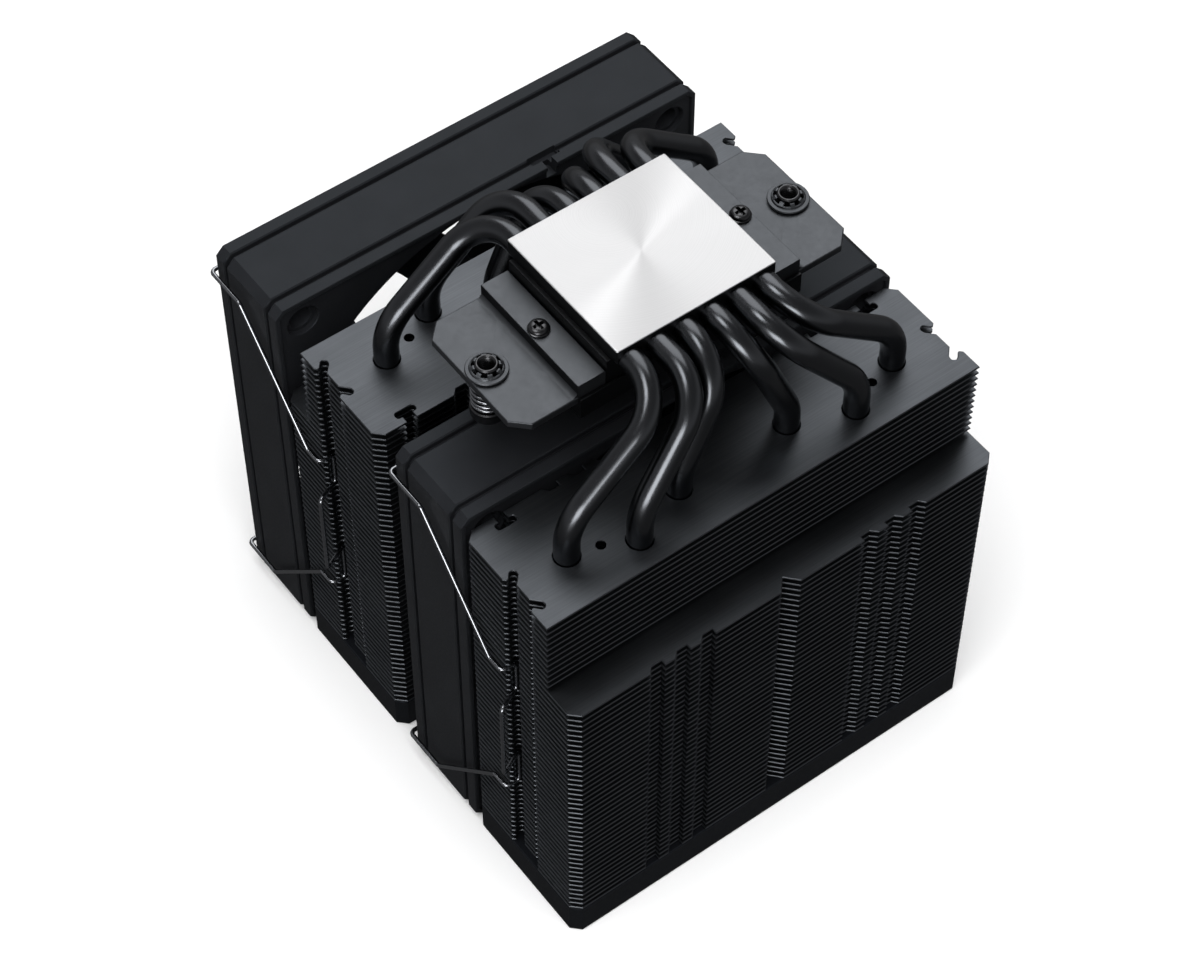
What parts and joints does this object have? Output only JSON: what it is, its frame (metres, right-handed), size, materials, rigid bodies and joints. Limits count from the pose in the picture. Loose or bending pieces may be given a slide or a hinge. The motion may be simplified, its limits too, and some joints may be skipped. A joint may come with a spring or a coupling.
{
  "type": "cpu tower cooler",
  "caption": "Dual-tower air cooler for a processor: fin stacks on heat pipes over a polished cold plate, with clip-on fans and sprung mounting screws.",
  "frame": {"origin": "centre of the bounding box at its bottom, on the plane of the two tower covers", "axes": "+Z out of the cold plate (towards the processor), +X across the fans' width, +Y towards the air inlet of the intake fan"},
  "size_m": [0.1284, 0.1394, 0.1533],
  "materials": {
    "plate": "turned and nickel plated",
    "block": "satin black",
    "bracket": "fine matt grey-black",
    "black_steel": "black zinc",
    "steel": "bright drawn wire",
    "pipe": "glossy black plating",
    "fin": "brushed, black coated",
    "plastic": "fine matt texture",
    "rotor": "satin",
    "magnet": "matt",
    "bronze": "sintered",
    "stator": "enamelled copper windings on steel sheets",
    "board": "solder mask"
  },
  "bodies": {
    "heatsink": {"cold_plate": "plate", "base_block": "block", "bracket_left": "bracket", "bracket_screw_left": "black_steel", "spring_left": "steel", "bracket_right": "bracket", "bracket_screw_right": "black_steel", "spring_right": "steel", "heat_pipe_1": "pipe", "heat_pipe_2": "pipe", "heat_pipe_3": "pipe", "heat_pipe_4": "pipe", "heat_pipe_5": "pipe", "heat_pipe_6": "pipe", "intake_tower_fins": "fin", "intake_tower_cover": "plastic", "exhaust_tower_fins": "fin", "exhaust_tower_cover": "plastic", "intake_fan_frame": "plastic", "intake_fan_bearing": "bronze", "intake_fan_stator": "stator", "intake_fan_circuit_board": "board", "middle_fan_frame": "plastic", "middle_fan_bearing": "bronze", "middle_fan_stator": "stator", "middle_fan_circuit_board": "board"},
    "intake_rotor": {"intake_fan_rotor": "rotor", "intake_fan_shaft": "steel", "intake_fan_magnet_ring": "magnet"},
    "middle_rotor": {"middle_fan_rotor": "rotor", "middle_fan_shaft": "steel", "middle_fan_magnet_ring": "magnet"},
    "intake_clip_left_body": {"intake_clip_left": "steel"},
    "intake_clip_right_body": {"intake_clip_right": "steel"},
    "middle_clip_left_body": {"middle_clip_left": "steel"},
    "middle_clip_right_body": {"middle_clip_right": "steel"},
    "screw_slider_left": {"retaining_ring_left": "bracket"},
    "screw_barrel_left": {"spring_screw_left": "black_steel"},
    "screw_slider_right": {"retaining_ring_right": "bracket"},
    "screw_barrel_right": {"spring_screw_right": "black_steel"}
  },
  "joints": [
    {"name": "intake_fan_spin", "type": "hinge", "parent": "heatsink", "child": "intake_rotor", "pos_m": [0, 0.05658, 0.06], "axis": [0, 1, 0], "continuous": true},
    {"name": "middle_fan_spin", "type": "hinge", "parent": "heatsink", "child": "middle_rotor", "pos_m": [0, -0.01342, 0.06], "axis": [0, 1, 0], "continuous": true},
    {"name": "intake_clip_left_swing", "type": "hinge", "parent": "heatsink", "child": "intake_clip_left_body", "pos_m": [-0.0525, 0.06918, 0.06], "axis": [0, 0, -1], "range_deg": [0, 30]},
    {"name": "intake_clip_right_swing", "type": "hinge", "parent": "heatsink", "child": "intake_clip_right_body", "pos_m": [0.0525, 0.06918, 0.06], "axis": [0, 0, 1], "range_deg": [0, 30]},
    {"name": "middle_clip_left_swing", "type": "hinge", "parent": "heatsink", "child": "middle_clip_left_body", "pos_m": [-0.0525, -0.00343, 0.06], "axis": [0, 0, -1], "range_deg": [0, 30]},
    {"name": "middle_clip_right_swing", "type": "hinge", "parent": "heatsink", "child": "middle_clip_right_body", "pos_m": [0.0525, -0.00343, 0.06], "axis": [0, 0, 1], "range_deg": [0, 30]},
    {"name": "spring_screw_left_press", "type": "slide", "parent": "heatsink", "child": "screw_slider_left", "axis": [0, 0, 1], "range_m": [0, 0.003], "stiffness_N_per_m": 3000, "springref_m": -0.002, "deforming": ["spring_left"]},
    {"name": "spring_screw_left_turn", "type": "hinge", "parent": "screw_slider_left", "child": "screw_barrel_left", "pos_m": [-0.0411, -0.01342, 0.135], "axis": [0, 0, 1], "continuous": true},
    {"name": "spring_screw_right_press", "type": "slide", "parent": "heatsink", "child": "screw_slider_right", "axis": [0, 0, 1], "range_m": [0, 0.003], "stiffness_N_per_m": 3000, "springref_m": -0.002, "deforming": ["spring_right"]},
    {"name": "spring_screw_right_turn", "type": "hinge", "parent": "screw_slider_right", "child": "screw_barrel_right", "pos_m": [0.0411, -0.01342, 0.135], "axis": [0, 0, 1], "continuous": true}
  ]
}
